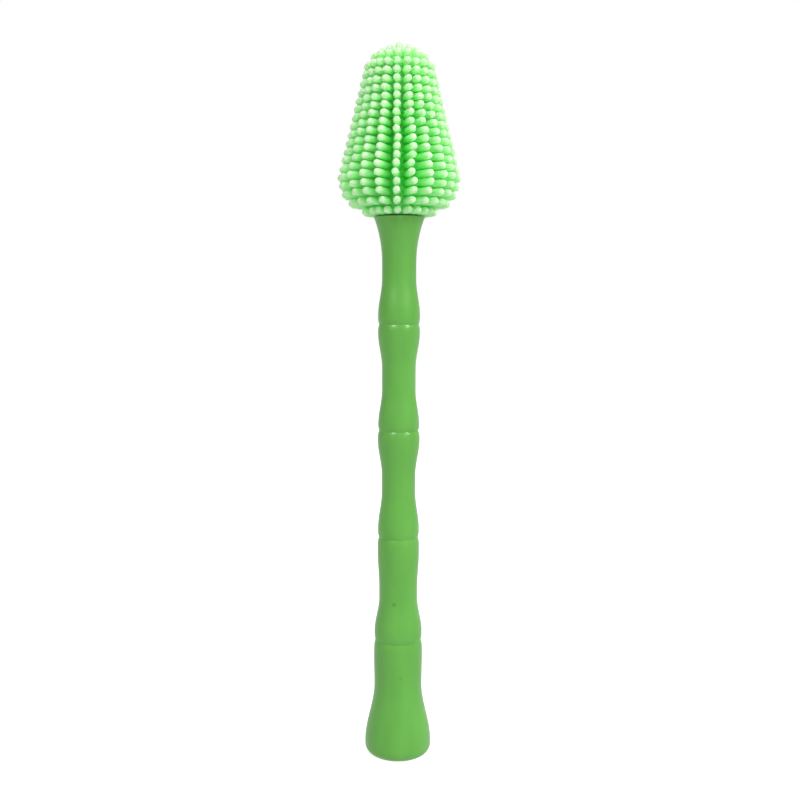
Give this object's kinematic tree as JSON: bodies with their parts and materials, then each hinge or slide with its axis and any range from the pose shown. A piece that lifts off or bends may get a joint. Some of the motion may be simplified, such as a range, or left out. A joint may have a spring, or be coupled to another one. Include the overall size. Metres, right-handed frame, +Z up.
{
  "type": "pet toothbrush",
  "caption": "Pet toothbrush with soft bristles all round a tapered head, on a bamboo-shaped grip with grooved joints, a collar and a flared flat foot.",
  "frame": {"origin": "centre of the flat foot, on the surface the brush stands on", "axes": "+Z up along the brush from foot to head, -Y towards the front bristle column"},
  "size_m": [0.0322, 0.0322, 0.187],
  "materials": {
    "grip_plastic": "satin mid-green polypropylene",
    "core_plastic": "plain mid-green polypropylene",
    "bristle_rubber": "soft translucent light-green thermoplastic rubber"
  },
  "bodies": {
    "root": {"handle": "grip_plastic", "head_core": "core_plastic", "brush_head": "bristle_rubber"}
  },
  "joints": []
}
